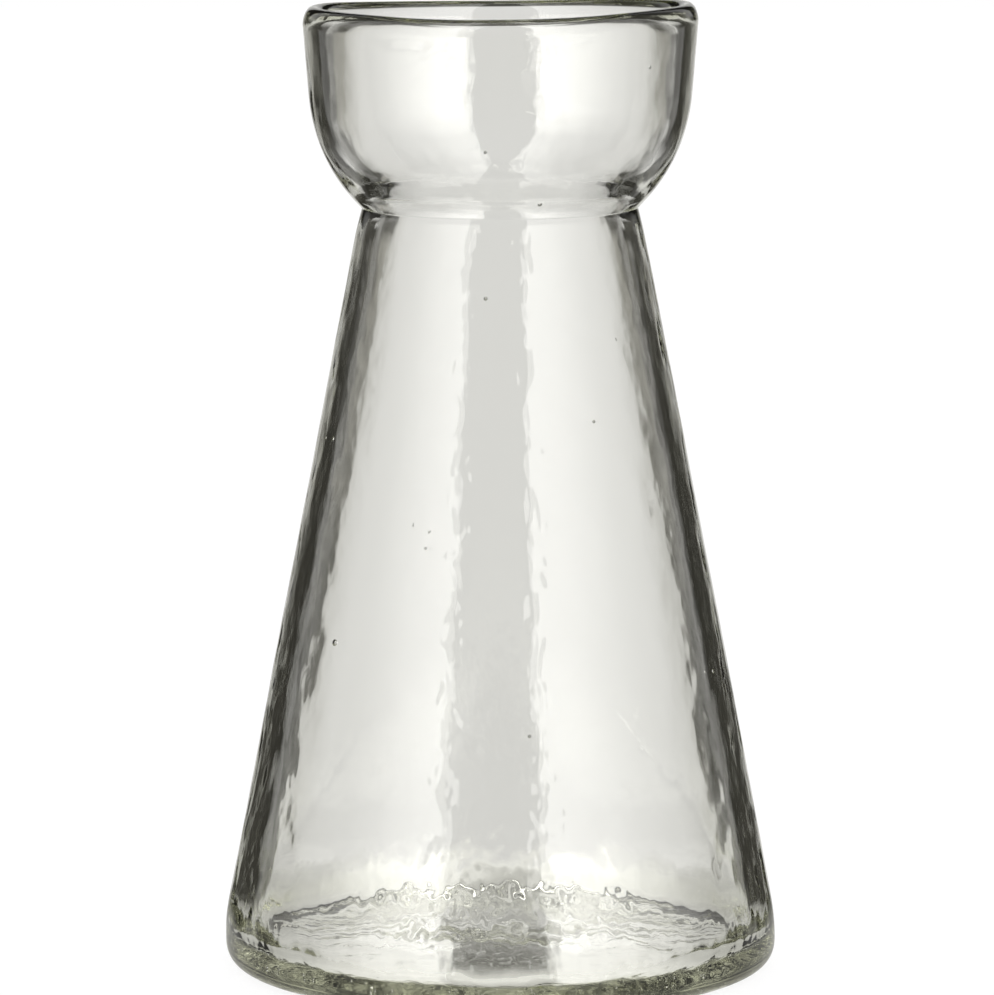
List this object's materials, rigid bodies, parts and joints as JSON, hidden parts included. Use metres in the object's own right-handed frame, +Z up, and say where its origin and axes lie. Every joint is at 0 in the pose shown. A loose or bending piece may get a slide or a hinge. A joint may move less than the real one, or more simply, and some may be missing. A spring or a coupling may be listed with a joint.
{
  "type": "hyacinth forcing vase",
  "caption": "Hand-blown clear glass forcing vase: conical water body, nipped waist that holds a bulb above the water, and an open bowl-shaped cup with a rounded lip.",
  "frame": {"origin": "on the vase's axis, on the surface that the resting ring stands on", "axes": "+Z up along the axis of the vase, +X to the right and +Y away from the viewer in the picture"},
  "size_m": [0.116, 0.116, 0.2],
  "materials": {
    "clear_glass": "hand-blown clear soda-lime glass with a faint grey-green tint, fire-polished, softly rippled, with a few seed bubbles"
  },
  "bodies": {
    "root": {"glass_vase": "clear_glass"}
  },
  "joints": []
}
